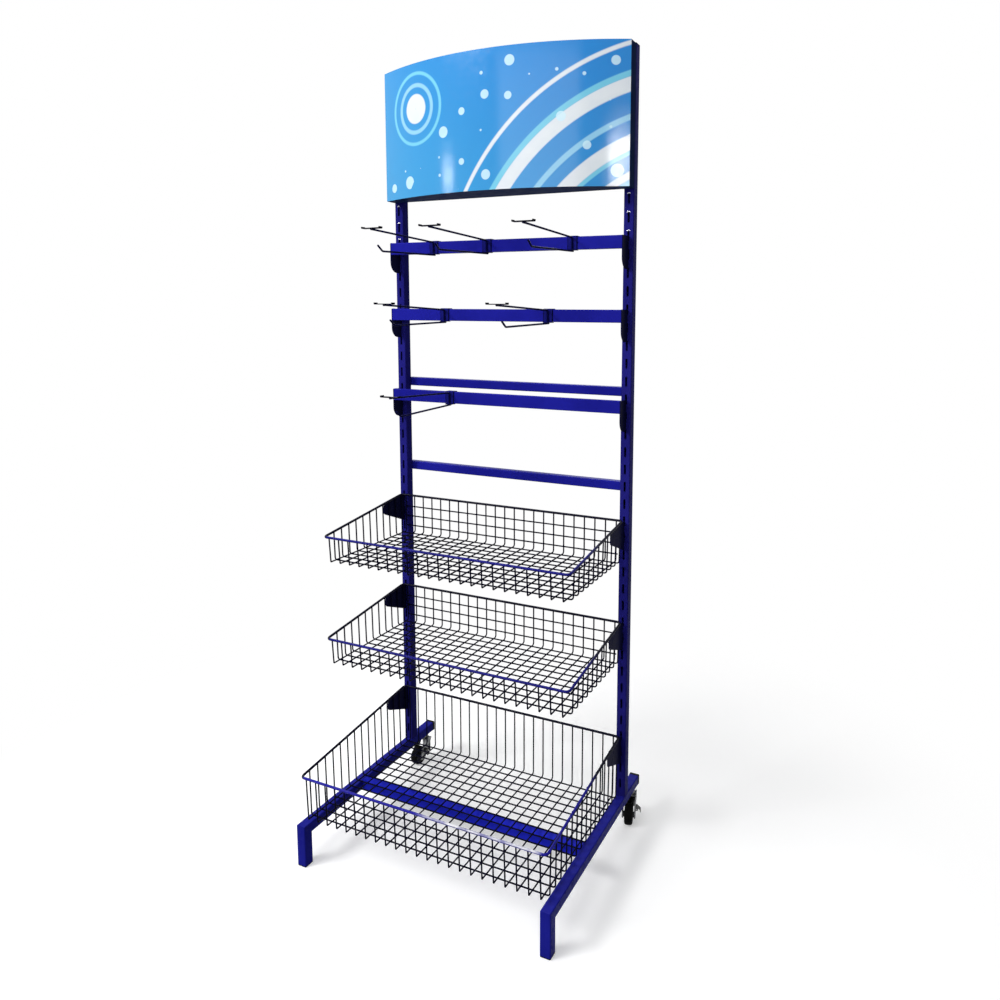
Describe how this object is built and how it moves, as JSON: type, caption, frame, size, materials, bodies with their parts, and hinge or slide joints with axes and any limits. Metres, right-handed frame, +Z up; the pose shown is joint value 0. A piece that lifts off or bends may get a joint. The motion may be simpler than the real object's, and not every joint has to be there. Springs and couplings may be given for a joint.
{
  "type": "wire display rack",
  "caption": "Free-standing wire display rack: slotted uprights on a castored base carry peg hooks on bars, hanging wire baskets and a bowed header box.",
  "frame": {"origin": "on the floor under the middle of the base, half-way between the legs and half-way along them", "axes": "+Z up, +X to the right as seen from the front, the baskets and hooks reach out towards -Y"},
  "size_m": [0.6945, 0.535, 1.904],
  "materials": {
    "blue_paint": "gloss powder coat",
    "navy_paint": "gloss powder coat",
    "header_print": "gloss",
    "black_plastic": "satin",
    "hub_plastic": "satin",
    "tyre_rubber": "matte",
    "zinc": "bright zinc"
  },
  "bodies": {
    "frame": {"upright_left": "blue_paint", "upright_right": "blue_paint", "upright_cap_left": "black_plastic", "upright_cap_right": "black_plastic", "base_leg_left": "blue_paint", "base_leg_right": "blue_paint", "leg_plug_left": "black_plastic", "leg_plug_right": "black_plastic", "front_foot_left": "blue_paint", "front_foot_right": "blue_paint", "foot_glide_left": "black_plastic", "foot_glide_right": "black_plastic", "base_crossbar": "blue_paint", "cross_rail_upper": "blue_paint", "cross_rail_lower": "blue_paint", "header_panel": "header_print", "header_tray": "navy_paint", "castor_mount_left": "zinc", "castor_mount_right": "zinc"},
    "bar_top": {"hook_bar_top": "blue_paint", "bar_plate_top_left": "navy_paint", "bar_plate_top_right": "navy_paint"},
    "bar_middle": {"hook_bar_middle": "blue_paint", "bar_plate_middle_left": "navy_paint", "bar_plate_middle_right": "navy_paint"},
    "bar_bottom": {"hook_bar_bottom": "blue_paint", "bar_plate_bottom_left": "navy_paint", "bar_plate_bottom_right": "navy_paint"},
    "hook_top_1": {"peg_hook_top_1": "navy_paint", "label_arm_top_1": "navy_paint"},
    "hook_top_2": {"peg_hook_top_2": "navy_paint", "label_arm_top_2": "navy_paint"},
    "hook_top_3": {"peg_hook_top_3": "navy_paint", "label_arm_top_3": "navy_paint"},
    "hook_middle_1": {"peg_hook_middle_1": "navy_paint", "label_arm_middle_1": "navy_paint"},
    "hook_middle_2": {"peg_hook_middle_2": "navy_paint", "label_arm_middle_2": "navy_paint"},
    "hook_bottom_1": {"peg_hook_bottom_1": "navy_paint", "label_arm_bottom_1": "navy_paint"},
    "basket_upper": {"basket_upper": "blue_paint", "basket_plate_upper_left": "navy_paint", "basket_plate_upper_right": "navy_paint"},
    "basket_middle": {"basket_middle": "blue_paint", "basket_plate_middle_left": "navy_paint", "basket_plate_middle_right": "navy_paint"},
    "basket_lower": {"basket_lower": "blue_paint", "basket_plate_lower_left": "navy_paint", "basket_plate_lower_right": "navy_paint"},
    "castor_left": {"castor_fork_left": "zinc"},
    "castor_right": {"castor_fork_right": "zinc"},
    "wheel_left": {"wheel_hub_left": "hub_plastic", "wheel_tyre_left": "tyre_rubber"},
    "wheel_right": {"wheel_hub_right": "hub_plastic", "wheel_tyre_right": "tyre_rubber"},
    "pedal_left": {"brake_pedal_left": "zinc"},
    "pedal_right": {"brake_pedal_right": "zinc"}
  },
  "joints": [
    {"name": "bar_lift_top", "type": "slide", "parent": "frame", "child": "bar_top", "axis": [0, 0, 1], "range_m": [0, 0.013]},
    {"name": "bar_lift_middle", "type": "slide", "parent": "frame", "child": "bar_middle", "axis": [0, 0, 1], "range_m": [0, 0.013]},
    {"name": "bar_lift_bottom", "type": "slide", "parent": "frame", "child": "bar_bottom", "axis": [0, 0, 1], "range_m": [0, 0.013]},
    {"name": "hook_slide_top_1", "type": "slide", "parent": "bar_top", "child": "hook_top_1", "axis": [1, 0, 0], "range_m": [-0.12, 0.051]},
    {"name": "hook_slide_top_2", "type": "slide", "parent": "bar_top", "child": "hook_top_2", "axis": [1, 0, 0], "range_m": [-0.051, 0.088]},
    {"name": "hook_slide_top_3", "type": "slide", "parent": "bar_top", "child": "hook_top_3", "axis": [1, 0, 0], "range_m": [-0.088, 0.1095]},
    {"name": "hook_slide_middle_1", "type": "slide", "parent": "bar_middle", "child": "hook_middle_1", "axis": [1, 0, 0], "range_m": [-0.15, 0.119]},
    {"name": "hook_slide_middle_2", "type": "slide", "parent": "bar_middle", "child": "hook_middle_2", "axis": [1, 0, 0], "range_m": [-0.119, 0.172]},
    {"name": "hook_slide_bottom_1", "type": "slide", "parent": "bar_bottom", "child": "hook_bottom_1", "axis": [1, 0, 0], "range_m": [-0.162, 0.45]},
    {"name": "basket_lift_upper", "type": "slide", "parent": "frame", "child": "basket_upper", "axis": [0, 0, 1], "range_m": [0, 0.013]},
    {"name": "basket_lift_middle", "type": "slide", "parent": "frame", "child": "basket_middle", "axis": [0, 0, 1], "range_m": [0, 0.013]},
    {"name": "basket_lift_lower", "type": "slide", "parent": "frame", "child": "basket_lower", "axis": [0, 0, 1], "range_m": [0, 0.013]},
    {"name": "castor_swivel_left", "type": "hinge", "parent": "frame", "child": "castor_left", "pos_m": [-0.32, 0.2305, 0.0694], "axis": [0, 0, 1], "continuous": true},
    {"name": "castor_swivel_right", "type": "hinge", "parent": "frame", "child": "castor_right", "pos_m": [0.32, 0.2305, 0.0694], "axis": [0, 0, 1], "continuous": true},
    {"name": "wheel_spin_left", "type": "hinge", "parent": "castor_left", "child": "wheel_left", "pos_m": [-0.32251, 0.20663, 0.025], "axis": [0.9945, -0.1045, 0], "continuous": true},
    {"name": "wheel_spin_right", "type": "hinge", "parent": "castor_right", "child": "wheel_right", "pos_m": [0.32621, 0.20732, 0.025], "axis": [0.9659, 0.2588, 0], "continuous": true},
    {"name": "pedal_press_left", "type": "hinge", "parent": "castor_left", "child": "pedal_left", "pos_m": [-0.30148, 0.21247, 0.04], "axis": [0.1045, 0.9945, 0], "range_deg": [0, 15]},
    {"name": "pedal_press_right", "type": "hinge", "parent": "castor_right", "child": "pedal_right", "pos_m": [0.34375, 0.2203, 0.04], "axis": [-0.2588, 0.9659, 0], "range_deg": [0, 15]}
  ]
}
